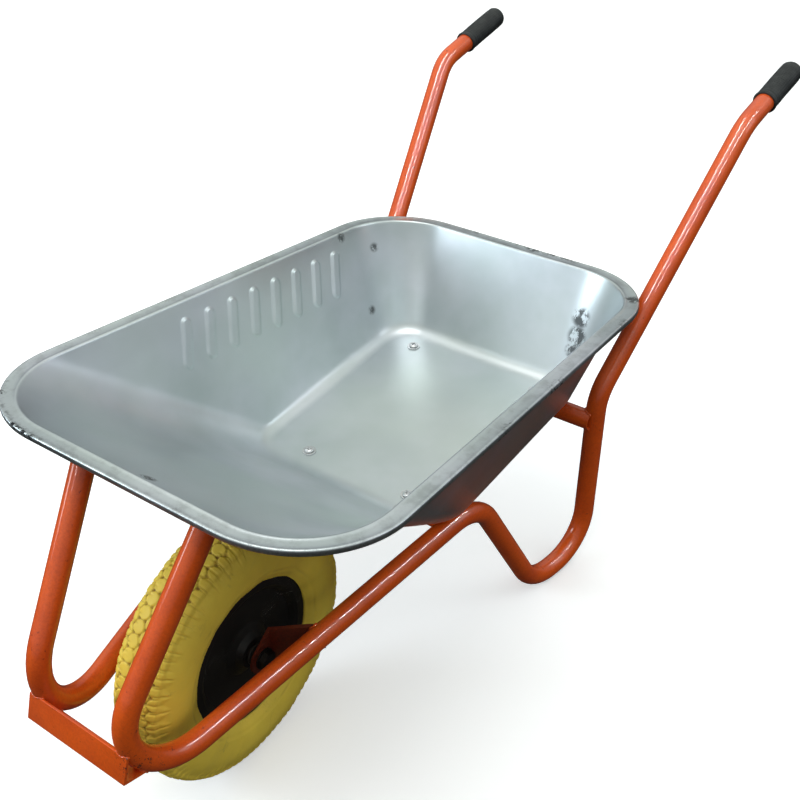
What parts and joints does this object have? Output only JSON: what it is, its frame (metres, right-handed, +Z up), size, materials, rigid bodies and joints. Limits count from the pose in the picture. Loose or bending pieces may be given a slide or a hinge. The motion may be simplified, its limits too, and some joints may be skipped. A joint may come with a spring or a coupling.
{
  "type": "wheelbarrow",
  "caption": "Single-wheel builder's wheelbarrow: pressed steel tray on two bent frame tubes, foam-filled tyre on a plain disc rim, ground legs and ribbed rubber grips.",
  "frame": {"origin": "on the ground, at the bottom centre of the bounding box", "axes": "+Z up, the wheel and the nose toward -Y, the handles toward +Y, and +X to the right of someone who stands in front of the nose and looks back at the barrow; right and left in names are meant that way"},
  "size_m": [0.6138, 1.457, 0.712],
  "materials": {
    "galvanised": "satin galvanised sheet",
    "orange_paint": "glossy orange enamel",
    "bracket_paint": "dark brown satin paint",
    "grip_rubber": "ribbed black rubber",
    "yellow_tyre": "matte yellow foam-filled tyre",
    "rim_black": "smooth black",
    "hub_steel": "plain dark steel",
    "bush_nylon": "black nylon",
    "zinc": "zinc plated"
  },
  "bodies": {
    "frame": {"tray": "galvanised", "frame_tube_right": "orange_paint", "frame_tube_left": "orange_paint", "cross_tube_front": "orange_paint", "cross_tube_rear": "orange_paint", "nose_bar": "orange_paint", "upright_pad_right": "orange_paint", "upright_pad_left": "orange_paint", "axle_bracket_right": "bracket_paint", "axle_bracket_left": "bracket_paint", "grip_right": "grip_rubber", "grip_left": "grip_rubber", "axle_bolt": "hub_steel", "axle_spacer_right": "hub_steel", "axle_spacer_left": "hub_steel", "axle_washers": "hub_steel", "axle_nut": "hub_steel", "tray_bolts": "zinc", "tray_head_washers": "zinc", "tray_foot_washers": "zinc", "tray_nuts": "zinc"},
    "wheel": {"tyre": "yellow_tyre", "rim_half_right": "rim_black", "rim_half_left": "rim_black", "hub_tube": "hub_steel", "bush_right": "bush_nylon", "bush_left": "bush_nylon"}
  },
  "joints": [
    {"name": "wheel_spin", "type": "hinge", "parent": "frame", "child": "wheel", "pos_m": [0, -0.44599, 0.2], "axis": [1, 0, 0], "continuous": true}
  ]
}
